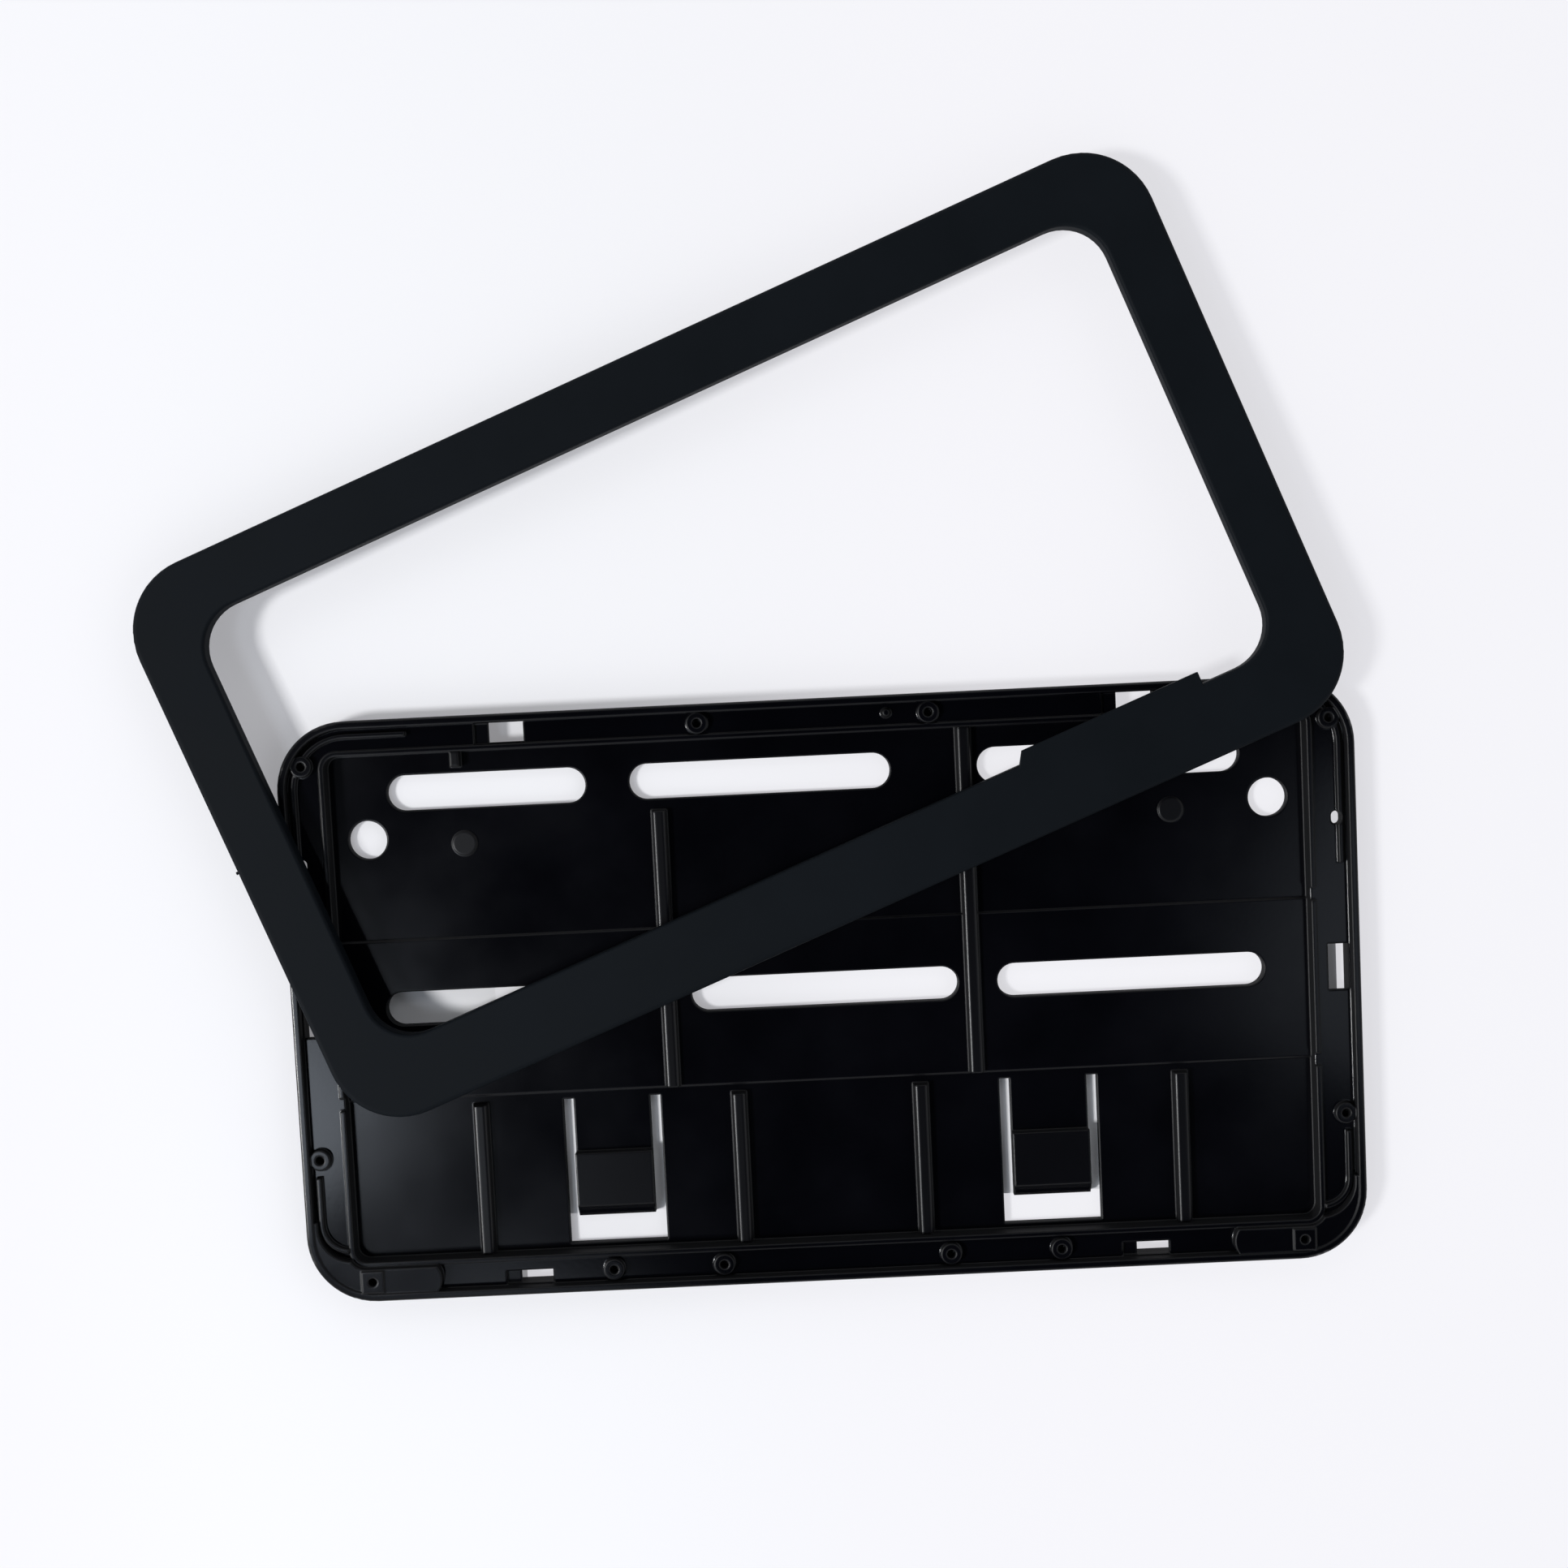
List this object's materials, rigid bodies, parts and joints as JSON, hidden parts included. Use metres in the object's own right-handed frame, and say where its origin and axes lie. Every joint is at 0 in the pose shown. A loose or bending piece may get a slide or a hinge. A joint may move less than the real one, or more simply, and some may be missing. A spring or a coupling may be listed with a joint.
{
  "type": "number plate holder",
  "caption": "Two-piece number plate holder: a shallow moulded tray with bolt slots, ribs and hook windows, and a rounded cover frame with snap hooks that lies loosely across it.",
  "frame": {"origin": "on the tray's back, at the middle of its lower row of slots", "axes": "+X along the plate, +Y up the plate, +Z out of the tray's front; the tray lies on its back"},
  "size_m": [0.3749, 0.3444, 0.0176],
  "materials": {
    "tray_plastic": "satin black moulding",
    "frame_plastic": "matt black moulding"
  },
  "bodies": {
    "root": {"base_tray": "tray_plastic", "cover_frame": "frame_plastic"}
  },
  "joints": []
}
